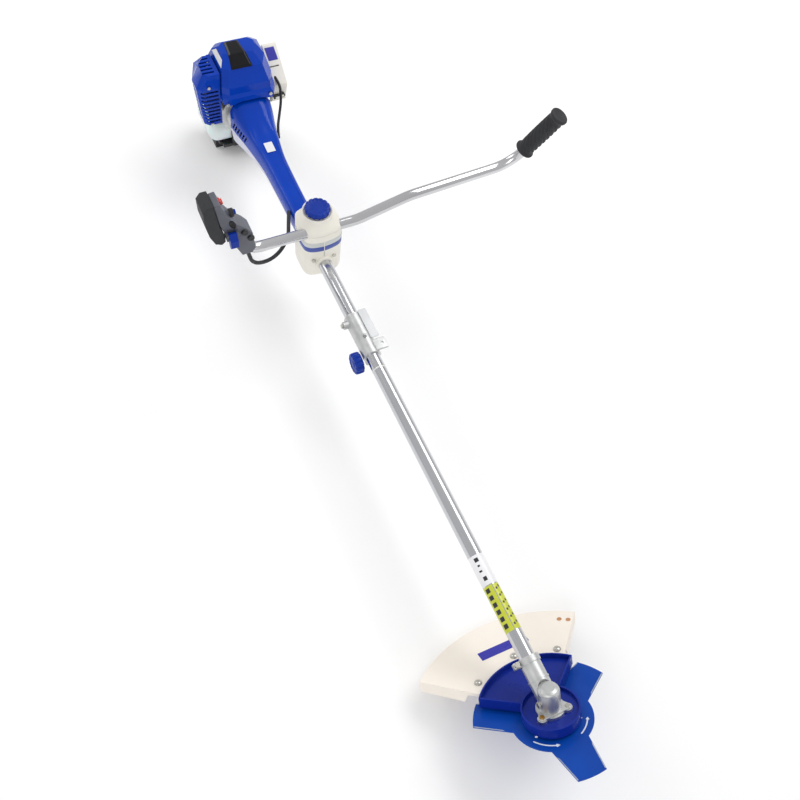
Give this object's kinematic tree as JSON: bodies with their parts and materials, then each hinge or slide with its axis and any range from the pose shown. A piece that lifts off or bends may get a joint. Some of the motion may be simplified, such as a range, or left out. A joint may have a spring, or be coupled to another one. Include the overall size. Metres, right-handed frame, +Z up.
{
  "type": "brush cutter",
  "caption": "Petrol brush cutter: rear engine with tank, two-piece straight shaft, bullhorn handlebar with throttle handle, tilted gear head, steel blade and fan-shaped guard",
  "frame": {"origin": "On the ground under the middle of the engine's foot, below the shaft's axis", "axes": "+X runs along the shaft from the engine towards the cutting head, +Y is the operator's left, +Z is up"},
  "size_m": [1.7102, 0.7445, 0.4254],
  "materials": {
    "blue_gloss": "glossy moulded",
    "navy_plastic": "satin moulded",
    "cream_plastic": "fine grain moulded",
    "lilac_plastic": "fine grain moulded",
    "blade_blue": "satin paint",
    "steel": "machined",
    "zinc": "zinc plated",
    "cast_aluminium": "die cast",
    "tube_aluminium": "polished",
    "chrome_steel": "bright plated",
    "black_rubber": "moulded",
    "grey_plastic": "fine grain moulded",
    "black_plastic": "satin moulded",
    "red_plastic": "glossy moulded",
    "tank_white": "translucent blown",
    "clear_plastic": "clear moulded",
    "porcelain": "glazed"
  },
  "bodies": {
    "frame": {"neck_shell_upper": "blue_gloss", "cylinder_cover": "blue_gloss", "muffler_cover": "blue_gloss", "guard_bracket": "navy_plastic", "plug_cover": "navy_plastic", "guard_skirt": "cream_plastic", "clamp_base": "cream_plastic", "clamp_cover": "cream_plastic", "filter_cover": "cream_plastic", "filter_base": "cream_plastic", "neck_shell_lower": "lilac_plastic", "starter_housing": "lilac_plastic", "muffler": "steel", "guard_bolts": "zinc", "socket_screws": "zinc", "ball_bearings": "zinc", "gear_case": "cast_aluminium", "gear_case_cap": "cast_aluminium", "coupler_body": "cast_aluminium", "crankcase": "cast_aluminium", "cylinder": "cast_aluminium", "piston": "cast_aluminium", "carburettor": "cast_aluminium", "lower_tube": "tube_aluminium", "upper_tube": "tube_aluminium", "throttle_cable": "black_rubber", "fuel_hose": "black_rubber", "engine_foot": "black_plastic", "shaft_bushes": "black_plastic", "fuel_tank": "tank_white", "coupler_flap": "clear_plastic", "spark_plug": "porcelain"},
    "cutter": {"blade": "blade_blue", "blade_adapter": "steel", "blade_cup": "steel", "blade_nut": "steel", "output_shaft": "steel"},
    "drive": {"input_pinion": "steel", "lower_drive_shaft": "steel", "upper_drive_shaft": "steel", "clutch_drum": "steel"},
    "crank": {"crankshaft": "steel", "flywheel": "cast_aluminium", "clutch_shoes": "steel"},
    "bars": {"handlebar": "chrome_steel", "left_grip": "black_rubber", "throttle_housing": "grey_plastic", "throttle_rubber": "black_rubber", "throttle_screws": "black_plastic"},
    "trigger": {"throttle_trigger": "blue_gloss"},
    "lock_button": {"throttle_lock_button": "blue_gloss"},
    "switch": {"stop_switch": "red_plastic"},
    "bar_knob": {"clamp_knob": "blue_gloss"},
    "tube_knob": {"coupler_knob": "blue_gloss"},
    "release_pin": {"coupler_pin": "steel"},
    "pull_handle": {"starter_handle": "black_plastic"},
    "rope_pulley": {"starter_pulley": "black_plastic"},
    "choke": {"choke_lever": "black_plastic"},
    "primer": {"primer_bulb": "black_rubber"},
    "filler_cap": {"fuel_cap": "black_plastic"}
  },
  "joints": [
    {"name": "cutter_spin", "type": "hinge", "parent": "frame", "child": "cutter", "pos_m": [1.51, 0, 0.165], "axis": [-0.5736, 0, 0.8192], "continuous": true},
    {"name": "drive_spin", "type": "hinge", "parent": "frame", "child": "drive", "pos_m": [1.51, 0, 0.165], "axis": [1, 0, 0], "continuous": true},
    {"name": "crank_spin", "type": "hinge", "parent": "frame", "child": "crank", "pos_m": [0.048, 0, 0.165], "axis": [1, 0, 0], "continuous": true},
    {"name": "bar_tilt", "type": "hinge", "parent": "frame", "child": "bars", "pos_m": [0.54, 0, 0.245], "axis": [0, 1, 0], "range_deg": [-20, 25], "deforming": ["throttle_cable"]},
    {"name": "trigger_pull", "type": "hinge", "parent": "bars", "child": "trigger", "pos_m": [0.566, -0.185, 0.329], "axis": [0, 1, 0], "range_deg": [0, 8], "stiffness_Nm_per_rad": 0.5, "springref_deg": -8.59},
    {"name": "lock_press", "type": "slide", "parent": "bars", "child": "lock_button", "axis": [0, -1, 0], "range_m": [0, 0.004], "stiffness_N_per_m": 600, "springref_m": -0.001},
    {"name": "stop_rock", "type": "hinge", "parent": "bars", "child": "switch", "pos_m": [0.54, -0.2015, 0.394], "axis": [1, 0, 0], "range_deg": [-12, 12]},
    {"name": "bar_knob_turn", "type": "hinge", "parent": "frame", "child": "bar_knob", "pos_m": [0.518, 0, 0.277], "axis": [0, 0, 1], "range_deg": [0, 1080]},
    {"name": "tube_knob_turn", "type": "hinge", "parent": "frame", "child": "tube_knob", "pos_m": [0.8, 0, 0.147], "axis": [0, -1, 0], "range_deg": [0, 1080]},
    {"name": "release_pin_press", "type": "slide", "parent": "frame", "child": "release_pin", "axis": [0, 0, -1], "range_m": [0, 0.003], "stiffness_N_per_m": 1500, "springref_m": -0.001},
    {"name": "rope_pulley_turn", "type": "hinge", "parent": "frame", "child": "rope_pulley", "pos_m": [-0.021, 0, 0.165], "axis": [-1, 0, 0], "range_deg": [0, 1822], "stiffness_Nm_per_rad": 0.01, "springref_deg": -572.96},
    {"name": "starter_pull", "type": "slide", "parent": "frame", "child": "pull_handle", "axis": [0, -1, 0], "range_m": [0, 0.7]},
    {"name": "choke_turn", "type": "hinge", "parent": "frame", "child": "choke", "pos_m": [0.096, 0.086, 0.193], "axis": [1, 0, 0], "range_deg": [0, 60]},
    {"name": "primer_press", "type": "slide", "parent": "frame", "child": "primer", "axis": [0, 0, 1], "range_m": [0, 0.004], "stiffness_N_per_m": 800, "springref_m": -0.001},
    {"name": "filler_cap_turn", "type": "hinge", "parent": "frame", "child": "filler_cap", "pos_m": [-0.058, -0.04, 0.081], "axis": [-1, 0, 0], "range_deg": [0, 450]}
  ],
  "couplings": [
    {"joint": "drive_spin", "follows": "cutter_spin", "ratio": 1.4615},
    {"joint": "starter_pull", "follows": "rope_pulley_turn", "m_per_rad": 0.022}
  ]
}
